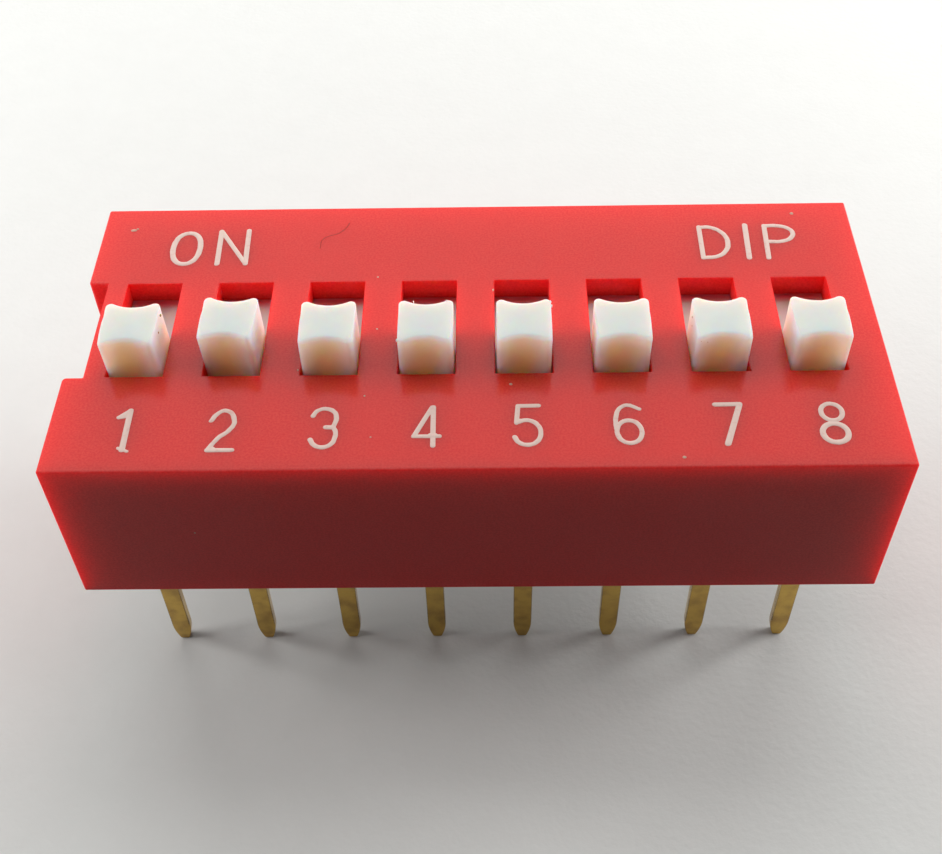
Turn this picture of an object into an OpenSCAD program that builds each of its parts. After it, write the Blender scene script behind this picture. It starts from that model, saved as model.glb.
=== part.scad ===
// Slide switch in a dual in-line package: a row of small sliders under one moulded cover.
// Each slider carries a contact spring that bridges a pair of terminals when it is pushed to ON.
// X runs along the switch, +Y points to the ON side and Z points up.
// The origin is the middle of the underside, which sits on the circuit board.
// The sliders are drawn at their OFF stops, apart from one that stands a little off its stop.

/* [Layout] */
// Number of switch positions
positions = 8; // [2:1:12]
// Spacing of the positions, and of the terminals along a row
pitch = 2.54; // [2.4:0.01:3.2]
// Distance between the middles of the two rows of terminals
row_spacing = 7.62; // [7.2:0.02:9]

/* [Cover] */
// Thickness of the cover's front and back walls
side_wall = 1.01; // [0.6:0.01:1.6]
// Thickness of the cover's end walls
end_wall = 0.88; // [0.75:0.01:1.6]
// Thickness of the cover's top
top_wall = 0.63; // [0.4:0.01:0.9]
// Height of the chambers that the sliders move in
chamber_h = 2.57; // [2.4:0.01:3.6]
// Depth of the notch that marks the first end
notch_d = 0.53; // [0.2:0.01:0.6]
// Length of the notch
notch_l = 3.55; // [2:0.05:5]
// Radius of the notch's outer corners
notch_r = 0.12; // [0.05:0.01:0.2]

/* [Slider] */
// Width of the knob
knob_w = 1.42; // [1.1:0.01:1.6]
// Length of the knob along its travel
knob_l = 1.5; // [1.1:0.05:2]
// Height of the knob above the cover
knob_h = 1.07; // [0.3:0.01:2]
// Radius of the knob's upright corners
knob_r = 0.13; // [0.05:0.01:0.2]
// Depth of the hollow in the knob's front and back faces
hollow_d = 0.15; // [0.05:0.01:0.3]
// Travel of the slider from OFF to ON
travel = 1.8; // [1.2:0.02:2.2]
// Number of the slider that stands off its OFF stop, or 0 for none
stray_slider = 2; // [0:1:12]
// How far that slider stands off its stop
stray_by = 0.18; // [0:0.02:0.6]
// Width of the slider's plate, under the cover
plate_w = 1.84; // [1.75:0.01:2.1]
// Thickness of the slider's plate
plate_t = 0.6; // [0.4:0.05:0.8]
// Thickness of the two runners under the plate
runner_t = 0.3; // [0.2:0.01:0.35]
// Length of the block that the contact spring sits against
seat_l = 1.2; // [0.9:0.05:1.6]
// Radius of the peg that holds the spring
peg_r = 0.18; // [0.12:0.01:0.22]
// How far the peg stands through the spring
peg_stand = 0.15; // [0.05:0.01:0.25]

/* [Contact spring] */
// Width of the contact spring
spring_w = 0.95; // [0.7:0.01:1]
// Thickness of the spring strip
spring_t = 0.12; // [0.08:0.01:0.16]
// Height of the spring from its contact points to its top
spring_h = 1.27; // [1:0.01:1.4]
// Length of the flat at the top of the spring
spring_flat = 1.1; // [0.8:0.05:1.3]
// Distance between the spring's two contact points
contact_span = 2.65; // [2.3:0.05:3]
// Radius of each contact point, at the middle of the strip
contact_r = 0.2; // [0.15:0.01:0.3]
// How far the spring sits to the OFF side of the knob's middle
spring_lead = 0.42; // [0.2:0.01:0.6]
// Length of the upturned tail beyond each contact point
tail_l = 0.25; // [0.1:0.01:0.4]

/* [Terminals] */
// Thickness of the terminal strip
strip_t = 0.25; // [0.2:0.01:0.35]
// Width of a terminal's leg
leg_w = 0.53; // [0.4:0.01:0.8]
// Length of a leg below the underside
leg_l = 4.1; // [2.5:0.05:5]
// Length of the tapered tip of a leg
tip_l = 0.75; // [0.3:0.05:1.5]
// Width of a leg at its very end
tip_w = 0.24; // [0.15:0.01:0.35]
// Width of a terminal's contact pad
pad_w = 1.1; // [0.9:0.01:1.14]
// Gap between the pads of one position
pad_gap = 1.2; // [1:0.05:1.6]
// Inside radius of the bend between pad and leg
bend_r = 0.1; // [0.08:0.01:0.3]

/* [Base] */
// Thickness of the base plate
base_h = 1.9; // [1.4:0.05:2.6]
// Radius of the ridges that snap the base into the cover
catch_r = 0.12; // [0.08:0.01:0.18]
// Length of each ridge
catch_l = 1.2; // [0.6:0.05:1.4]
// Distance of each ridge from the middle of the base's end
catch_y = 2.8; // [2.6:0.05:3]
// Height of the ridges above the underside
catch_z = 1.1; // [0.5:0.05:1.2]

/* [Fits] */
// Play between a knob and the sides of its window
knob_play = 0.04; // [0.02:0.005:0.08]
// Space between a knob and the end of its window at each stop
window_spare = 0.12; // [0.05:0.005:0.3]
// Play between a slider and the ribs at its sides
side_play = 0.06; // [0.03:0.005:0.08]
// Play above a slider's plate and under its runners
lift_play = 0.05; // [0.02:0.005:0.1]
// Space left between a slider and the wall at its stop
stop_play = 0.03; // [0.02:0.005:0.06]
// Running space under a spring's contact points
contact_play = 0.03; // [0.02:0.005:0.06]
// Play between a peg and the hole in its spring
peg_play = 0.03; // [0.01:0.005:0.05]
// Space between the base and the cover's walls
base_play = 0.02; // [0.01:0.005:0.04]
// Space between a terminal and its slot in the base
slot_play = 0.02; // [0.01:0.005:0.04]
// Space between a terminal's leg and the cover's wall
leg_play = 0.03; // [0.02:0.005:0.06]

/* [Hidden] */
$fn = 48;
// How far a cut runs past the face that it starts from
cut = 0.5;
// Number of straight pieces in a drawn curve
curve_steps = 10;
// Direction of a spring's tail above the horizontal
tail_angle = 55;

// The inside of the cover, between its walls
inside_w = row_spacing + strip_t + 2 * leg_play;
chamber_w = plate_w + 2 * side_play;
inside_l = (positions - 1) * pitch + chamber_w;
// The outside of the cover
cover_l = inside_l + 2 * end_wall;
cover_w = inside_w + 2 * side_wall;
ceiling_z = base_h + chamber_h;
cover_h = ceiling_z + top_wall;
window_w = knob_w + 2 * knob_play;
window_l = knob_l + travel + 2 * window_spare;

// Levels of the slider and its spring
plate_top = ceiling_z - lift_play;
plate_z = plate_top - plate_t;
plate_l = inside_w - travel - 2 * stop_play;
runner_z = base_h + lift_play;
contact_z = base_h + contact_play;
spring_top = contact_z + spring_h;

// The knob's outline: four round corners, and a hollow that runs smoothly into two of them
corner_x = knob_w / 2 - knob_r;
corner_y = knob_l / 2 - knob_r;
hollow_r = (corner_x * corner_x + hollow_d * hollow_d) / (2 * hollow_d) - knob_r;
hollow_y = knob_l / 2 - hollow_d + hollow_r;
hollow_half = asin(corner_x / (hollow_r + knob_r));

// Places along the middle of a terminal's strip
bend_mid = bend_r + strip_t / 2;
bend_y = row_spacing / 2 - bend_mid;
pad_mid_z = base_h - strip_t / 2;

// Where position i lies along the switch, and how far along its travel its slider stands
function position_x(i) = (i - (positions + 1) / 2) * pitch;
function slider_y(i) = -travel / 2 + (i == stray_slider ? stray_by : 0);

// Points along an arc from angle a to angle b
function arc(middle, r, a, b) =
    [for (k = [0:curve_steps])
        let (t = a + (b - a) * k / curve_steps)
        middle + r * [cos(t), sin(t)]];

function all_but_last(list) = [for (k = [0:len(list) - 2]) list[k]];
function reversed(list) = [for (k = [len(list) - 1:-1:0]) list[k]];
function mirrored(list) = [for (p = list) [-p[0], p[1]]];
function heading(a, b) = (b - a) / norm(b - a);
function turned_left(v) = [-v[1], v[0]];

// The offset at point k of a path that keeps a strip's thickness through its corners
function corner_offset(path, k) =
    let (
        last = len(path) - 1,
        before = heading(path[max(k - 1, 0)], path[max(k, 1)]),
        after = heading(path[min(k, last - 1)], path[min(k + 1, last)])
    )
    (turned_left(before) + turned_left(after)) / (1 + before * after);

// The outline of a strip of thickness t that follows a path through its middle
function strip_outline(path, t) =
    concat(
        [for (k = [0:len(path) - 1]) path[k] + corner_offset(path, k) * t / 2],
        [for (k = [len(path) - 1:-1:0]) path[k] - corner_offset(path, k) * t / 2]
    );

// Turns a drawing of Y and Z into a strip that is w wide along X
module across(w)
    rotate([90, 0, 90])
        linear_extrude(w, center = true)
            children();

// ---- Cover ----

function notch_corner(side) =
    let (middle = [-cover_l / 2 + notch_r, side * (notch_l / 2 + notch_r)])
    side > 0 ? arc(middle, notch_r, 180, 270) : arc(middle, notch_r, 90, 180);

function cover_outline() =
    concat(
        [[cover_l / 2, -cover_w / 2], [cover_l / 2, cover_w / 2], [-cover_l / 2, cover_w / 2]],
        notch_corner(1),
        [[-cover_l / 2 + notch_d, notch_l / 2], [-cover_l / 2 + notch_d, -notch_l / 2]],
        notch_corner(-1),
        [[-cover_l / 2, -cover_w / 2]]
    );

// The four ridges on the base's ends, or with play the grooves that they snap into
module catches(play = 0)
    for (sx = [-1, 1], sy = [-1, 1])
        translate([sx * (inside_l / 2 - base_play), sy * catch_y, catch_z])
            rotate([90, 0, 0])
                cylinder(r = catch_r + play, h = catch_l + 2 * play, center = true);

module chamber(i)
    translate([position_x(i), 0, ceiling_z / 2])
        cube([chamber_w, inside_w, ceiling_z], center = true);

module window(i)
    translate([position_x(i), 0, cover_h])
        cube([window_w, window_l, 2 * top_wall + cut], center = true);

module cover()
    color("firebrick")
        difference() {
            linear_extrude(cover_h)
                polygon(cover_outline());
            translate([-inside_l / 2, -inside_w / 2, -cut])
                cube([inside_l, inside_w, base_h + cut]);
            for (i = [1:positions]) {
                chamber(i);
                window(i);
            }
            catches(base_play);
        }

// ---- Base ----

module base_block()
    translate([-inside_l / 2 + base_play, -inside_w / 2 + base_play, 0])
        cube([inside_l - 2 * base_play, inside_w - 2 * base_play, base_h]);

module base()
    color("black")
        difference() {
            union() {
                base_block();
                catches();
            }
            for (i = [1:positions], side = [-1, 1])
                terminal_slot(i, side);
        }

// ---- Sliders ----

// One quarter of the knob's outline, from its side round to the middle of the hollow
function knob_quarter() =
    concat(
        all_but_last(arc([corner_x, corner_y], knob_r, 0, 90 + hollow_half)),
        arc([0, hollow_y], hollow_r, 270 + hollow_half, 270)
    );

function knob_outline() =
    let (back = concat(knob_quarter(), reversed(mirrored(all_but_last(knob_quarter())))))
    concat(back, [for (p = back) -p]);

module knob()
    translate([0, 0, plate_top - lift_play])
        linear_extrude(cover_h + knob_h - plate_top + lift_play)
            polygon(knob_outline());

module runner(side)
    translate([side * (plate_w - runner_t) / 2 - runner_t / 2, -plate_l / 2, runner_z])
        cube([runner_t, plate_l, plate_top - runner_z]);

module slider_body() {
    knob();
    translate([-plate_w / 2, -plate_l / 2, plate_z])
        cube([plate_w, plate_l, plate_t]);
    runner(-1);
    runner(1);
    translate([-plate_w / 2, -spring_lead - seat_l / 2, spring_top])
        cube([plate_w, seat_l, plate_top - spring_top]);
    translate([0, -spring_lead, spring_top - spring_t - peg_stand])
        cylinder(r = peg_r, h = spring_t + peg_stand + plate_t);
}

module slider(i)
    color("ivory")
        translate([position_x(i), slider_y(i), 0])
            slider_body();

// ---- Contact springs ----

// The middle of the strip from the spring's middle to the end of its tail on one side
function spring_side() =
    let (
        top = [0, spring_top - spring_t / 2],
        flat_end = top + [spring_flat / 2, 0],
        point = [contact_span / 2, contact_z + spring_t / 2 + contact_r],
        reach = norm(point - flat_end),
        slope = atan2(point[1] - flat_end[1], point[0] - flat_end[0]) - asin(contact_r / reach),
        bow = arc(point, contact_r, slope - 90, tail_angle - 90)
    )
    concat([flat_end], bow, [bow[curve_steps] + tail_l * [cos(tail_angle), sin(tail_angle)]]);

function spring_path() = concat(reversed(mirrored(spring_side())), spring_side());

module contact_spring(i)
    color("darkgoldenrod")
        translate([position_x(i), slider_y(i) - spring_lead, 0])
            difference() {
                across(spring_w)
                    polygon(strip_outline(spring_path(), spring_t));
                translate([0, 0, spring_top - spring_t / 2])
                    cylinder(r = peg_r + peg_play, h = 2 * spring_t, center = true);
            }

// ---- Terminals ----

// The middle of the strip along the pad, and from there round the bend and down the leg
function pad_path(play) =
    [[pad_gap / 2 - play, pad_mid_z],
     [bend_y + play, pad_mid_z]];

function leg_path() =
    concat(
        [[bend_y - strip_t, pad_mid_z]],
        arc([bend_y, pad_mid_z - bend_mid], bend_mid, 90, 0),
        [[row_spacing / 2, -leg_l]]
    );

// A terminal's bent strip before its leg is trimmed to a tip, with play added all round
module pad_strip(play = 0)
    across(pad_w + 2 * play)
        polygon(strip_outline(pad_path(play), strip_t + 2 * play));

module leg_strip(play = 0)
    across(leg_w + 2 * play)
        polygon(strip_outline(leg_path(), strip_t + 2 * play));

// The leg seen from the front: straight sides that curve in to the tip
function tip_side() =
    let (
        narrowing = (leg_w - tip_w) / 2,
        r = (tip_l * tip_l + narrowing * narrowing) / (2 * narrowing),
        turn = asin(tip_l / r)
    )
    arc([leg_w / 2 - r, tip_l - leg_l], r, -turn, 0);

function leg_outline() =
    concat(
        tip_side(),
        [[leg_w / 2, base_h], [-leg_w / 2, base_h]],
        reversed(mirrored(tip_side()))
    );

// Puts what is drawn for a back terminal in the front row (side -1) or the back row (side 1)
module at_terminal(i, side)
    translate([position_x(i), 0, 0])
        mirror([0, side < 0 ? 1 : 0, 0])
            children();

module terminal(i, side)
    color("goldenrod")
        at_terminal(i, side) {
            pad_strip();
            intersection() {
                leg_strip();
                translate([0, row_spacing, 0])
                    rotate([90, 0, 0])
                        linear_extrude(row_spacing)
                            polygon(leg_outline());
            }
        }

// The room for a terminal in the base: a recess for the pad, and a channel for the leg that is
// open at the base's side
module terminal_slot(i, side)
    at_terminal(i, side) {
        pad_strip(slot_play);
        leg_strip(slot_play);
        translate([-leg_w / 2 - slot_play, (row_spacing - strip_t) / 2 - slot_play, -cut])
            cube([leg_w + 2 * slot_play, strip_t + cut, base_h + 2 * cut]);
    }

cover();
base();
for (i = [1:positions]) {
    slider(i);
    contact_spring(i);
    terminal(i, -1);
    terminal(i, 1);
}
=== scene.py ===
"""The looks of a dip switch: finishes, rounded edges, printing, dust, floor, lamps and camera."""

import math

import bmesh
import bpy
from mathutils import Matrix, Vector, noise


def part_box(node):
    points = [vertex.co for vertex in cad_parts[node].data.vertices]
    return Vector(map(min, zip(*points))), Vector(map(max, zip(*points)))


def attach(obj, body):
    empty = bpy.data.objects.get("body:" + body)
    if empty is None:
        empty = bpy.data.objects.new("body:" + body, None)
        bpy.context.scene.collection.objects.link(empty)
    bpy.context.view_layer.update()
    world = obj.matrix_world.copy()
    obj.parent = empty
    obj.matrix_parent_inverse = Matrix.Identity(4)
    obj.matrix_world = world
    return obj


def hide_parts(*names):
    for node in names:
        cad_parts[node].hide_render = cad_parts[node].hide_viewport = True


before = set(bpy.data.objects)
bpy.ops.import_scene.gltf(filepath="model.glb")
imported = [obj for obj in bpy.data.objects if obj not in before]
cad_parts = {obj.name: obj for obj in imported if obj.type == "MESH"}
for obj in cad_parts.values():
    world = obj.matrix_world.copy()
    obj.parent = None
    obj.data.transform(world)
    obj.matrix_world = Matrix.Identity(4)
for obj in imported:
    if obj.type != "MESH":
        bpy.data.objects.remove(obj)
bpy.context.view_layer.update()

MM = 0.001
# The noise that roughens the ink and the dust is the same at every run
NOISE_SEED = 1
POSITIONS = sum(name.startswith("slider_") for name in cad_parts)

# ---- Sizes taken from the frame ----

cover_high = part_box("cover")[1]
TOP_Z = cover_high.z
FLOOR_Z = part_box("terminal_front_1")[0].z


def middle_x(position):
    """Where a position lies along the switch."""
    low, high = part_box(f"slider_{position}")
    return (low.x + high.x) / 2


# ---- Camera ----

CAMERA_PLACE = Vector((0.387, -25.002, 29.559)) * MM
# In degrees
CAMERA_TILT = 41.16
CAMERA_ROLL = 1.004
CAMERA_TURN = 0.173
# In millimetres, as the lens and the sensor are given
CAMERA_LENS = 49.76
SENSOR_WIDTH = 36


def add_camera():
    data = bpy.data.cameras.new("camera")
    data.sensor_width = SENSOR_WIDTH
    data.lens = CAMERA_LENS
    data.clip_start = 1 * MM
    data.clip_end = 10
    camera = bpy.data.objects.new("camera", data)
    camera.location = CAMERA_PLACE
    camera.rotation_euler = [math.radians(a) for a in (CAMERA_TILT, CAMERA_ROLL, CAMERA_TURN)]
    bpy.context.scene.collection.objects.link(camera)
    bpy.context.scene.camera = camera


# ---- Finishes ----

BLACK = (0, 0, 0, 1)
WHITE = (1, 1, 1, 1)


class Value:
    """An output of a node. Arithmetic on it adds Math nodes."""

    def __init__(self, tree, socket):
        self.tree = tree
        self.socket = socket

    def maths(self, operation, first, second):
        return self.tree.node("Math", {"operation": operation}, {0: first, 1: second})

    def __add__(self, other):
        return self.maths("ADD", self, other)

    def __mul__(self, other):
        return self.maths("MULTIPLY", self, other)

    def __lt__(self, other):
        return self.maths("LESS_THAN", self, other)

    def __gt__(self, other):
        return self.maths("GREATER_THAN", self, other)

    __radd__ = __add__
    __rmul__ = __mul__


def socket_of(sockets, key):
    """Finds a socket by its identifier, or else by its name or number."""
    for socket in sockets:
        if socket.identifier == key:
            return socket
    return sockets[key]


class NodeTree:
    """The nodes of a material or of the world."""

    def __init__(self, owner):
        owner.use_nodes = True
        self.nodes = owner.node_tree.nodes
        self.links = owner.node_tree.links

    def feed(self, node, socket, value):
        """Links a value to a socket, or sets the socket where the value is a constant."""
        target = socket_of(node.inputs, socket)
        if isinstance(value, Value):
            self.links.new(value.socket, target)
        else:
            target.default_value = value

    def node(self, kind, settings=None, inputs=None, output=0):
        """Adds a node, with its settings first and then its sockets' values or links."""
        made = self.nodes.new("ShaderNode" + kind)
        for name, value in (settings or {}).items():
            setattr(made, name, value)
        for socket, value in (inputs or {}).items():
            self.feed(made, socket, value)
        return Value(self, socket_of(made.outputs, output))

    def seen_directly(self):
        """1 for what the camera sees, straight, in gloss or through plastic, and 0 for light."""
        rays = ("Is Camera Ray", "Is Glossy Ray", "Is Transmission Ray")
        return sum(self.node("LightPath", output=ray) for ray in rays)


class Finish(NodeTree):
    """A material with one Principled surface. Constants are set on its own sockets."""

    def __init__(self, name, **constants):
        self.material = bpy.data.materials.new(name)
        super().__init__(self.material)
        self.surface = self.nodes["Principled BSDF"]
        self.vary(**constants)
        self.place = self.node("TexCoord", output="Object")

    def noise(self, size, detail=2.0, roughness=0.5, stretch=(1, 1, 1)):
        """Soft random patches of about this size in metres, from 0 to 1."""
        place = self.node("Mapping", {}, {"Vector": self.place, "Scale": [s / size for s in stretch]})
        inputs = {"Vector": place, "Scale": 1.0, "Detail": detail, "Roughness": roughness}
        return self.node("TexNoise", {}, inputs)

    def between(self, value, low, high):
        """0 where value is under low, 1 where it is over high, and smooth in between."""
        inputs = {"Value": value, "From Min": low, "From Max": high}
        return self.node("MapRange", {"interpolation_type": "SMOOTHSTEP"}, inputs)

    def mix(self, share, first, second):
        """The first colour where share is 0 and the second where it is 1."""
        inputs = {"Factor_Float": share, "A_Color": first, "B_Color": second}
        return self.node("Mix", {"data_type": "RGBA"}, inputs, output="Result_Color")

    def along(self, axis, start, end, near, far):
        """A colour that goes from near to far between two places along an axis."""
        place = self.node("SeparateXYZ", {}, {"Vector": self.place}, output=axis)
        return self.mix(self.between(place, start, end), near, far)

    def bumped(self, height, depth):
        """A normal that shows height, from 0 to 1, as a relief of this depth in metres."""
        return self.node("Bump", {}, {"Height": height, "Distance": depth, "Strength": 1.0})

    def vary(self, **values):
        """Feeds the surface's sockets."""
        for socket, value in values.items():
            self.feed(self.surface, socket.replace("_", " "), value)
        return self.material


def red_plastic(name, ior, rough, relief, deep, bright):
    """Red moulding that lets some light through its edges."""
    finish = Finish(
        name,
        Subsurface_Weight=1.0,
        Subsurface_Radius=(1.0, 0.10, 0.08),
        Subsurface_Scale=1.4 * MM,
        IOR=ior,
    )
    patches = finish.noise(1.6 * MM, detail=3)
    mottle = finish.noise(0.25 * MM, detail=2)
    grain = finish.noise(0.06 * MM, detail=2, roughness=0.6)
    share = patches * 0.2 + mottle * 0.2 + finish.between(grain, 0.35, 0.65) * 0.6
    colour = finish.mix(share, deep, bright)
    uneven = finish.bumped(grain, relief)
    return finish.vary(Base_Color=colour, Roughness=rough + patches * 0.04, Normal=uneven)


def black_plastic():
    """Matt black moulding with a fine grain."""
    finish = Finish("black_base_plastic", IOR=1.5)
    patches = finish.noise(0.9 * MM, detail=3)
    grain = finish.noise(0.06 * MM, detail=3)
    colour = finish.mix(patches, (0.012, 0.011, 0.011, 1), (0.024, 0.022, 0.021, 1))
    rough = 0.42 + patches * 0.12
    return finish.vary(Base_Color=colour, Roughness=rough, Normal=finish.bumped(grain, 0.002 * MM))


def white_plastic(name, reach, colour, painted_red_light=None):
    """Warm white moulding that light goes this far into. Where it has painted red light, its colour
    goes
    to another one along an axis: it is painted redder beside the cover, standing in for the red light
    that the cover throws on it."""
    finish = Finish(
        name,
        Subsurface_Weight=1.0,
        Subsurface_Radius=(1.0, 0.45, 0.24),
        Subsurface_Scale=reach,
        IOR=1.4,
    )
    patches = finish.noise(0.5 * MM, detail=3)
    grain = finish.noise(0.05 * MM, detail=2)
    # Painted red light from the cover: the colour goes redder along an axis
    if painted_red_light:
        axis, start, end, far = painted_red_light
        colour = finish.along(axis, start, end, colour, far)
    uneven = finish.mix(patches * 0.07, colour, BLACK)
    rough = 0.34 + patches * 0.14
    relief = finish.bumped(grain, 0.0015 * MM)
    return finish.vary(Base_Color=uneven, Roughness=rough, Normal=relief)


def ink():
    """Pale pad-printed ink, slightly see-through where it is thin."""
    finish = Finish("pale_ink", IOR=1.45)
    patches = finish.noise(0.12 * MM, detail=3)
    thin = finish.between(patches, 0.55, 0.75)
    colour = finish.mix(thin * 0.5, (0.80, 0.60, 0.53, 1), (0.70, 0.34, 0.30, 1))
    return finish.vary(Base_Color=colour, Roughness=0.45 + patches * 0.2)


def gilt(name, bright, dull):
    """Gold-coloured strip with rolling marks along it and dull patches."""
    finish = Finish(name, Metallic=1.0)
    patches = finish.noise(0.5 * MM, detail=4)
    marks = finish.noise(0.04 * MM, detail=2, stretch=(1, 1, 0.12))
    colour = finish.mix(finish.between(patches, 0.35, 0.75), bright, dull)
    rough = 0.10 + patches * 0.10 + marks * 0.06
    return finish.vary(Base_Color=colour, Roughness=rough, Normal=finish.bumped(marks, 0.002 * MM))


def dust(name, dark, pale):
    """Matt crumbs, uneven in colour."""
    finish = Finish(name)
    patches = finish.noise(0.05 * MM)
    colour = finish.mix(patches, dark, pale)
    return finish.vary(Base_Color=colour, Roughness=0.75 + patches * 0.15)


# The colour of the light that the floor throws on the switch. It is held down, so that the front
# of the switch stays deep.
BOUNCE_COLOUR = (0.27, 0.27, 0.26, 1)


def paper():
    """The pale floor: matt card with a faint mottle."""
    finish = Finish("pale_card", IOR=1.3)
    patches = finish.noise(1.2 * MM, detail=5, roughness=0.6)
    grain = finish.noise(0.2 * MM, detail=3)
    pale = finish.mix(patches, (0.745, 0.75, 0.725, 1), (0.785, 0.79, 0.765, 1))
    colour = finish.mix(finish.seen_directly(), BOUNCE_COLOUR, pale)
    rough = 0.9 + grain * 0.05
    return finish.vary(Base_Color=colour, Roughness=rough, Normal=finish.bumped(grain, 0.01 * MM))


# Where the knobs go from their feet, painted warm with the red light of the cover, to their white
# tips
FEET_Z = TOP_Z - 0.1 * MM
TIPS_Z = TOP_Z + 0.65 * MM
# Where the plates go from white to painted red: a painted glow of the red light that the cover throws
# on them beside the back of each window
WHITE_TO_Y = 1.46 * MM
PAINTED_RED_FROM_Y = 1.74 * MM

# The finishes of single faces, of the printing and of the dust
COVER_SIDES = red_plastic(
    "red_cover_sides",
    ior=1.3,
    rough=0.38,
    relief=0.0035 * MM,
    deep=(0.74, 0.006, 0.006, 1),
    bright=(0.9, 0.028, 0.028, 1),
)
# The knob tops take a darker white than the knob sides of the same moulding: painted shade that holds
# down the tops, where the lamps fall most strongly
SHADED_KNOB_TOP = white_plastic("white_knob_top_painted_shade", 0.8 * MM, (0.77, 0.83, 0.79, 1))
# The plates are painted red towards the back of their windows: painted red light from the cover
PLATE = white_plastic(
    "white_plate",
    0.3 * MM,
    (0.82, 0.83, 0.79, 1),
    painted_red_light=("Y", WHITE_TO_Y, PAINTED_RED_FROM_Y, (0.99, 0.22, 0.27, 1)),
)
INK = ink()
DUST = dust("dust", (0.62, 0.36, 0.27, 1), (0.78, 0.56, 0.44, 1))
HAIR = dust("dark_hair", (0.42, 0.03, 0.02, 1), (0.55, 0.05, 0.04, 1))
CRUMBS = dust("brown_crumbs", (0.30, 0.19, 0.07, 1), (0.55, 0.42, 0.20, 1))

# The main finish of each slot
FINISHES = {
    "cover": red_plastic(
        "red_cover_top",
        ior=1.58,
        rough=0.12,
        relief=0.0015 * MM,
        deep=(0.75, 0.004, 0.003, 1),
        bright=(0.85, 0.036, 0.021, 1),
    ),
    "base": black_plastic(),
    # The knob sides are painted warm red towards their feet: painted red light from the cover
    "slider": white_plastic(
        "white_knob_sides",
        3.6 * MM,
        (0.99, 0.84, 0.80, 1),
        painted_red_light=("Z", FEET_Z, TIPS_Z, (0.86, 0.88, 0.84, 1)),
    ),
    "contact_spring": gilt("bright_brass", (0.80, 0.60, 0.28, 1), (0.62, 0.44, 0.20, 1)),
    "terminal": gilt("gilt_plating", (0.63, 0.41, 0.10, 1), (0.40, 0.245, 0.075, 1)),
}

# ---- Mouldings and stampings: copies of the solids with rounded edges ----

# Edges that bend more than CORNER are rounded, and more than CREASE are shaded sharp. Faces that
# bend less than FLAT are one face.
CORNER = math.radians(60)
CREASE = math.radians(50)
FLAT = math.radians(1)
# Corners of triangles that are nearer than WELD are one corner. Heights within TOUCH are the same.
WELD = 1e-7
TOUCH = 1e-6


def finished(name, bm, material):
    """Makes an object of a bmesh, with smooth shading that keeps its flat faces flat."""
    for face in bm.faces:
        face.smooth = True
    for edge in bm.edges:
        edge.smooth = len(edge.link_faces) == 2 and edge.calc_face_angle() < CREASE
    mesh = bpy.data.meshes.new(name)
    bm.to_mesh(mesh)
    bm.free()
    mesh.materials.append(material)
    made = bpy.data.objects.new(name, mesh)
    bpy.context.scene.collection.objects.link(made)
    return made


def keep_flats_flat(piece):
    """The roundings take their shading from the flat faces beside them."""
    weighted = piece.modifiers.new("flat_faces", "WEIGHTED_NORMAL")
    weighted.keep_sharp = True
    weighted.weight = 100


def round_edges(bm, edges, radius, segments):
    bmesh.ops.bevel(
        bm,
        geom=edges,
        affect="EDGES",
        offset=radius,
        offset_type="OFFSET",
        segments=segments,
        profile=0.5,
        material=-1,
        clamp_overlap=False,
    )


def sharp_edges(bm):
    """The edges that are still sharp: the strips of an earlier rounding meet under this angle."""
    return [e for e in bm.edges if len(e.link_faces) == 2 and e.calc_face_angle() > CORNER]


def softened(node, slot, body, *roundings):
    """A copy of a node whose sharp edges are rounded, which stands in for it.
    Each rounding is (which edges, radius, segments), and the first that takes an edge rounds it."""
    bm = bmesh.new()
    bm.from_mesh(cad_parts[node].data)
    bmesh.ops.remove_doubles(bm, verts=bm.verts[:], dist=WELD)
    bmesh.ops.dissolve_limit(bm, angle_limit=FLAT, verts=bm.verts[:], edges=bm.edges[:])
    for takes, radius, segments in roundings:
        edges = [e for e in sharp_edges(bm) if takes(e)]
        round_edges(bm, edges, radius, segments)
    piece = finished("finished_" + node, bm, FINISHES[slot])
    keep_flats_flat(piece)
    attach(piece, body)
    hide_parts(node)
    return piece


# A face of the plate lies deeper than this under the cover's top
PLATE_DEPTH = 0.5 * MM
# A face whose normal has more than this along z is part of a top
KNOB_LEVEL = 0.92
COVER_LEVEL = 0.95


def paint(piece, material, takes):
    """Gives a finish of its own to each face that takes() picks."""
    mesh = piece.data
    mesh.materials.append(material)
    for face in mesh.polygons:
        if takes(face):
            face.material_index = len(mesh.materials) - 1


def side_of_cover(face):
    """The walls of the windows count as sides: they too are less glossy than the top."""
    return face.normal.z < COVER_LEVEL


def upper_side(face):
    return face.normal.z > KNOB_LEVEL


def part_of_plate(face):
    return face.center.z < TOP_Z - PLATE_DEPTH


# How far a loose knob leans to the left over each millimetre of height, and the angle it twists by
PLAY = {1: (0.03, 0), 2: (0.035, math.radians(-1.8))}
# The top of the plates, where the knobs begin
PLATE_TOP_Z = 4.42 * MM


def tilt(piece, x, lean, twist):
    """Leans and twists the knob above its plate: the knobs have a little play in their windows."""
    knob = [v for v in piece.data.vertices if v.co.z > PLATE_TOP_Z + TOUCH]
    y = sum(v.co.y for v in knob) / len(knob)
    turn = Matrix.Rotation(twist, 4, "Z")
    turn = Matrix.Translation((x, y, 0)) @ turn @ Matrix.Translation((-x, -y, 0))
    for v in knob:
        v.co = turn @ v.co
        v.co.x -= lean * (v.co.z - PLATE_TOP_Z)


# The outer faces of the cover, its notch included, lie within this of its box
OUTER_RIM = 0.7 * MM
# The middle of the knobs from front to back
KNOB_MIDDLE_Y = -0.9 * MM


def corners(edge):
    """The two places that an edge joins."""
    return [v.co for v in edge.verts]


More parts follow.
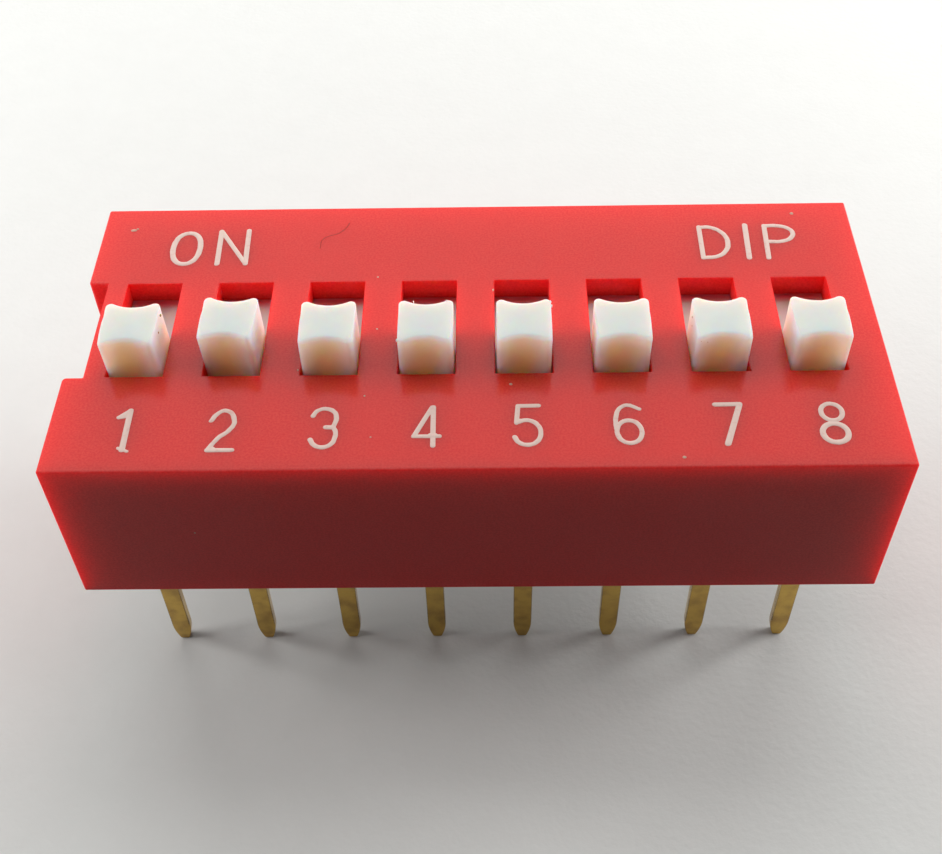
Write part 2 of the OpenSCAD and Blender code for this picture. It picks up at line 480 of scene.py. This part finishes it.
def outside_of_cover(edge):
    """Edges of the cover's outer faces, at its top, corners and notch."""
    x, y = cover_high.x - OUTER_RIM, cover_high.y - OUTER_RIM
    return all(abs(p.x) > x or abs(p.y) > y for p in corners(edge))


def edge_of_window(edge):
    return all(p.z > TOP_Z - TOUCH for p in corners(edge))


def below(height):
    """Takes the edges under this height: the rest are out of sight inside the switch."""
    return lambda edge: all(p.z < height for p in corners(edge))


def top_of_knob(edge):
    first, second = corners(edge)
    return first.z > TOP_Z + TOUCH and abs(first.z - second.z) < TOUCH


def back_of_knob(edge):
    return top_of_knob(edge) and all(p.y > KNOB_MIDDLE_Y for p in corners(edge))


def front_of_knob(edge):
    return top_of_knob(edge) and all(p.y < KNOB_MIDDLE_Y for p in corners(edge))


# The roundings of each kind of piece: which edges, the radius and the number of segments
COVER_ROUNDINGS = ((outside_of_cover, 0.06 * MM, 4), (edge_of_window, 0.025 * MM, 2))
BASE_ROUNDINGS = ((below(0.5 * MM), 0.02 * MM, 2),)
KNOB_ROUNDINGS = (
    (back_of_knob, 0.012 * MM, 2),
    (front_of_knob, 0.1 * MM, 5),
    (top_of_knob, 0.045 * MM, 3),
)
LEG_ROUNDINGS = ((below(1.2 * MM), 0.03 * MM, 2),)


def add_pieces():
    cover = softened("cover", "cover", "housing", *COVER_ROUNDINGS)
    paint(cover, COVER_SIDES, side_of_cover)
    softened("base", "base", "housing", *BASE_ROUNDINGS)
    for position in range(1, POSITIONS + 1):
        slider = f"slider_{position}"
        knob = softened(slider, "slider", slider, *KNOB_ROUNDINGS)
        paint(knob, SHADED_KNOB_TOP, upper_side)
        paint(knob, PLATE, part_of_plate)
        if position in PLAY:
            tilt(knob, middle_x(position), *PLAY[position])
        softened(f"contact_spring_{position}", "contact_spring", slider)
        for row in ("front", "back"):
            softened(f"terminal_{row}_{position}", "terminal", "housing", *LEG_ROUNDINGS)


# ---- Printing ----

# The width of a stroke of weight 1, and how far the ink stands up
INK_WIDTH = 0.125 * MM
INK_RISE = 0.012 * MM
# The edges of the ink wander by EDGE_WANDER, about once every EDGE_WAVE
EDGE_WANDER = 0.010 * MM
EDGE_WAVE = 0.12 * MM


def stroke(points, weight, handle, closed):
    return {"points": points, "weight": weight, "handle": handle, "closed": closed}


def line(*points, weight=1.0):
    """A stroke with straight stretches."""
    return stroke(points, weight, "VECTOR", False)


def bow(*points, weight=1.0):
    """A stroke that curves smoothly through its points."""
    return stroke(points, weight, "AUTO", False)


def ring(x, y, half_w, half_h, weight=1.0):
    """A closed oval stroke round a middle."""
    points = ((x + half_w, y), (x, y + half_h), (x - half_w, y), (x, y - half_h))
    return stroke(points, weight, "AUTO", True)


# The strokes of each numeral in millimetres, from the middle of its foot
NUMERALS = {
    1: [
        line((0.10, 1.31), (0.105, 0.0), weight=1.2),
        line((-0.17, 1.08), (0.07, 1.30), weight=0.8),
        line((-0.16, 1.07), (0.06, 1.12), weight=0.9),
        line((-0.02, 1.15), (0.08, 1.22), weight=1.1),
        line((0.0, 0.06), (0.24, -0.045), weight=0.7),
    ],
    2: [
        bow(
            (-0.335, 0.94), (-0.24, 1.13), (0.0, 1.28), (0.25, 0.93),
            (0.155, 0.62), (-0.08, 0.38), (-0.30, 0.0),
        ),
        line((-0.32, -0.03), (0.30, -0.03), weight=1.05),
        line((-0.25, 0.05), (-0.17, 0.0)),
    ],
    3: [
        bow(
            (-0.325, 1.07), (-0.22, 1.24), (-0.03, 1.31), (0.19, 1.22),
            (0.275, 1.02), (0.25, 0.82), (0.21, 0.70),
        ),
        bow(
            (0.21, 0.70), (0.28, 0.55), (0.285, 0.37), (0.20, 0.14),
            (0.0, 0.03), (-0.22, 0.11), (-0.335, 0.29),
        ),
        line((0.03, 0.69), (0.20, 0.68), weight=1.1),
    ],
    4: [
        line((0.17, 1.33), (0.18, 0.05), weight=1.05),
        line((0.14, 1.33), (-0.30, 0.36), (0.34, 0.36)),
        line((0.11, 1.13), (0.13, 1.24)),
        line((0.12, 0.38), (0.22, 0.38), weight=1.4),
    ],
    5: [
        line((0.29, 1.35), (-0.235, 1.345), (-0.28, 0.78)),
        bow(
            (-0.25, 0.80), (-0.02, 0.865), (0.22, 0.74), (0.32, 0.45),
            (0.21, 0.15), (-0.01, 0.05), (-0.235, 0.14), (-0.335, 0.315),
        ),
        line((-0.24, 0.86), (-0.16, 0.84)),
    ],
    6: [
        bow((0.28, 1.20), (0.06, 1.33), weight=0.85),
        bow((0.06, 1.33), (-0.10, 1.32), (-0.26, 1.16), (-0.335, 0.86), (-0.34, 0.56), weight=0.95),
        ring(-0.02, 0.453, 0.31, 0.375),
    ],
    7: [
        line((-0.35, 1.33), (0.28, 1.34), weight=1.1),
        line((0.27, 1.32), (-0.175, 0.03), weight=1.25),
    ],
    8: [
        ring(-0.005, 1.045, 0.265, 0.28, weight=1.05),
        ring(-0.025, 0.355, 0.315, 0.31, weight=1.2),
    ],
}
# The numerals stand this far to the right of their sliders' middles
NUMERAL_SHIFT = 0.04 * MM
NUMERAL_FOOT_Y = -4.27 * MM

# The strokes of each word in millimetres, from the middle of the cover's top
WORDS = {
    "on": [
        ring(-8.235, 3.245, 0.385, 0.66, weight=1.25),
        line((-7.32, 3.97), (-7.285, 2.57), weight=1.15),
        line((-7.29, 3.93), (-6.50, 2.60), weight=1.05),
        line((-6.535, 4.00), (-6.485, 2.57), weight=1.15),
    ],
    "dip": [
        bow(
            (6.40, 3.91), (6.72, 3.90), (7.02, 3.68), (7.15, 3.31),
            (7.08, 2.94), (6.84, 2.68), (6.40, 2.60),
            weight=1.1,
        ),
        line((6.40, 3.93), (6.39, 2.60), weight=1.1),
        line((7.725, 3.99), (7.67, 2.58), weight=1.2),
        line((8.27, 3.95), (8.21, 2.57), weight=1.1),
        bow(
            (8.27, 3.94), (8.60, 3.945), (8.88, 3.86), (9.04, 3.66),
            (8.97, 3.43), (8.74, 3.28), (8.24, 3.26),
            weight=1.1,
        ),
    ],
}

# A fine hair that lies beside the word ON
HAIR_ROUTE = [
    bow(
        (-3.64, 4.28), (-3.79, 3.97), (-3.98, 3.80),
        (-4.21, 3.71), (-4.38, 3.54), (-4.42, 3.20),
        weight=0.22,
    )
]


def round_ends(part):
    """The points of a stroke that need a round end: all of them where it is straight."""
    if part["closed"]:
        return ()
    if part["handle"] == "VECTOR":
        return part["points"]
    return part["points"][0], part["points"][-1]


def stretches(part):
    """A straight stroke goes one stretch at a time, so that its corners keep their width."""
    if part["handle"] == "VECTOR":
        return list(zip(part["points"], part["points"][1:]))
    return [part["points"]]


def tube_of(strokes):
    """A mesh of round tubes along the strokes, with round ends, in the plane Z 0."""
    data = bpy.data.curves.new("strokes", "CURVE")
    data.dimensions = "3D"
    data.bevel_depth = INK_WIDTH / 2
    data.bevel_resolution = 2
    data.resolution_u = 8
    data.use_fill_caps = True
    for part in strokes:
        for points in stretches(part):
            spline = data.splines.new("BEZIER")
            spline.use_cyclic_u = part["closed"]
            spline.bezier_points.add(len(points) - 1)
            for point, (x, y) in zip(spline.bezier_points, points):
                point.co = (x * MM, y * MM, 0)
                point.radius = part["weight"]
                point.handle_left_type = part["handle"]
                point.handle_right_type = part["handle"]
    holder = bpy.data.objects.new("strokes", data)
    bpy.context.scene.collection.objects.link(holder)
    bpy.context.view_layer.update()
    bm = bmesh.new()
    bm.from_mesh(holder.to_mesh())
    holder.to_mesh_clear()
    bpy.data.objects.remove(holder)
    for part in strokes:
        for x, y in round_ends(part):
            end = Matrix.Translation((x * MM, y * MM, 0))
            radius = part["weight"] * INK_WIDTH / 2
            bmesh.ops.create_uvsphere(bm, u_segments=12, v_segments=6, radius=radius, matrix=end)
    return bm


def printed(name, strokes, foot, material):
    """Strokes on the cover's top, a little uneven along their edges."""
    bm = tube_of(strokes)
    for v in bm.verts:
        wander = noise.noise_vector(v.co / EDGE_WAVE) * EDGE_WANDER
        v.co += Vector((wander.x, wander.y, 0))
        v.co.z *= INK_RISE / (INK_WIDTH / 2)
    bmesh.ops.translate(bm, vec=Vector((foot[0], foot[1], TOP_Z)), verts=bm.verts[:])
    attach(finished(name, bm, material), "housing")


def add_printing():
    for position in range(1, POSITIONS + 1):
        foot = (middle_x(position) + NUMERAL_SHIFT, NUMERAL_FOOT_Y)
        printed(f"numeral_{position}", NUMERALS[position], foot, INK)
    for word, strokes in WORDS.items():
        printed("word_" + word, strokes, (0, 0), INK)
    printed("hair", HAIR_ROUTE, (0, 0), HAIR)


# ---- Dust and burrs ----

# The surface of a lump goes in and out by this share of its least half size, every LUMP_WAVE
LUMP_WANDER = 0.5
LUMP_WAVE = 0.03 * MM

# The body that carries each group, its finish, and where its lumps lie and their half sizes in
# millimetres
WEAR = {
    "dust_on_cover": (
        "housing",
        DUST,
        (
            ((-9.88, 4.05, 5.10), (0.09, 0.05, 0.03)),
            ((-9.78, 4.11, 5.10), (0.04, 0.03, 0.02)),
            ((9.14, 4.47, 5.10), (0.05, 0.05, 0.03)),
            ((5.10, -4.66, 5.10), (0.05, 0.04, 0.02)),
            ((0.91, -2.17, 5.10), (0.045, 0.035, 0.03)),
            ((-2.60, -3.92, 5.10), (0.025, 0.02, 0.01)),
            ((-2.83, -2.53, 5.10), (0.025, 0.03, 0.01)),
            ((-2.71, 1.95, 5.10), (0.03, 0.03, 0.01)),
            ((-2.63, -0.10, 5.10), (0.03, 0.025, 0.01)),
            ((-7.27, -4.97, 2.60), (0.03, 0.01, 0.03)),
            ((0.49, 1.37, 5.10), (0.025, 0.05, 0.02)),
            ((-4.62, -1.60, 5.10), (0.02, 0.03, 0.01)),
        ),
    ),
    "flake_at_window_7": ("housing", COVER_SIDES, (((7.12, -1.74, 5.11), (0.02, 0.05, 0.03)),)),
    "burrs_on_knob_4": (
        "slider_4",
        SHADED_KNOB_TOP,
        (
            ((-1.60, -0.16, 6.13), (0.012, 0.02, 0.05)),
            ((-0.74, -0.16, 6.16), (0.025, 0.02, 0.03)),
            ((-1.98, -1.52, 6.08), (0.03, 0.05, 0.04)),
        ),
    ),
    "burrs_on_knob_5": (
        "slider_5",
        SHADED_KNOB_TOP,
        (((1.97, -0.20, 6.12), (0.03, 0.04, 0.03)), ((2.00, -0.30, 6.06), (0.02, 0.05, 0.04))),
    ),
    "crumbs_on_knob_7": (
        "slider_7",
        CRUMBS,
        (
            ((5.70, -0.19, 6.13), (0.02, 0.03, 0.02)),
            ((5.86, -0.16, 6.14), (0.03, 0.02, 0.015)),
            ((5.64, -0.62, 5.92), (0.012, 0.04, 0.03)),
            ((5.64, -0.76, 5.74), (0.012, 0.02, 0.02)),
            ((5.74, -1.64, 6.06), (0.015, 0.01, 0.015)),
            ((5.91, -1.64, 6.02), (0.012, 0.01, 0.012)),
        ),
    ),
    "crumbs_on_knob_1": (
        "slider_1",
        CRUMBS,
        (((-8.20, -0.48, 6.05), (0.02, 0.05, 0.03)), ((-8.19, -1.00, 5.93), (0.012, 0.03, 0.03))),
    ),
}


def lump(bm, place, half_sizes):
    """Adds a small uneven lump."""
    stretched = Matrix.Diagonal([*(Vector(half_sizes) * MM), 1])
    matrix = Matrix.Translation(Vector(place) * MM) @ stretched
    made = bmesh.ops.create_icosphere(bm, subdivisions=2, radius=1, matrix=matrix)
    depth = min(half_sizes) * LUMP_WANDER * MM
    for v in made["verts"]:
        v.co += noise.noise_vector(v.co / LUMP_WAVE) * depth


def add_wear():
    for name, (body, material, lumps) in WEAR.items():
        bm = bmesh.new()
        for place, half_sizes in lumps:
            lump(bm, place, half_sizes)
        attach(finished(name, bm, material), body)


# ---- Floor, lamps and world ----

FLOOR_SIZE = 120 * MM
# The name, place, width, height and radiance of each lamp
PANELS = (
    ("low_panel", Vector((0, 100, 30)) * MM, 120 * MM, 42 * MM, 4.0),
    ("high_panel", Vector((0, 50, 68)) * MM, 120 * MM, 60 * MM, 1.75),
    ("left_panel", Vector((-80, 2, 32)) * MM, 47 * MM, 40 * MM, 8.8),
    ("right_panel", Vector((80, 13, 32)) * MM, 47 * MM, 40 * MM, 9.6),
)
WORLD_LEVEL = 0.035


def add_floor():
    bm = bmesh.new()
    bmesh.ops.create_grid(bm, x_segments=1, y_segments=1, size=FLOOR_SIZE / 2)
    bmesh.ops.translate(bm, vec=Vector((0, 0, FLOOR_Z)), verts=bm.verts[:])
    finished("floor", bm, paper())


def add_panel(name, place, width, height, radiance):
    """A soft rectangular lamp that faces the switch."""
    data = bpy.data.lights.new(name, "AREA")
    data.shape = "RECTANGLE"
    data.size = width
    data.size_y = height
    data.energy = radiance * math.pi * width * height
    lamp = bpy.data.objects.new(name, data)
    lamp.location = place
    lamp.rotation_mode = "QUATERNION"
    lamp.rotation_quaternion = (-place).to_track_quat("-Z", "Y")
    lamp.visible_camera = False
    lamp.visible_glossy = False
    bpy.context.scene.collection.objects.link(lamp)


def add_world():
    """A dim sky that the camera, gloss and clear plastic see as white."""
    world = bpy.data.worlds.new("world")
    tree = NodeTree(world)
    # Light that a matt surface has scattered finds the sky dim in gloss too
    scatterings = tree.node("LightPath", output="Diffuse Depth")
    white = tree.seen_directly() * (scatterings < 1)
    level = tree.node("MapRange", {}, {"Value": white, "To Min": WORLD_LEVEL, "To Max": 1.0})
    sky = tree.nodes["Background"]
    tree.feed(sky, "Strength", level)
    tree.feed(sky, "Color", WHITE)
    bpy.context.scene.world = world


bpy.context.scene.view_settings.view_transform = "Standard"
noise.seed_set(NOISE_SEED)
add_camera()
add_pieces()
add_printing()
add_wear()
add_floor()
for panel in PANELS:
    add_panel(*panel)
add_world()
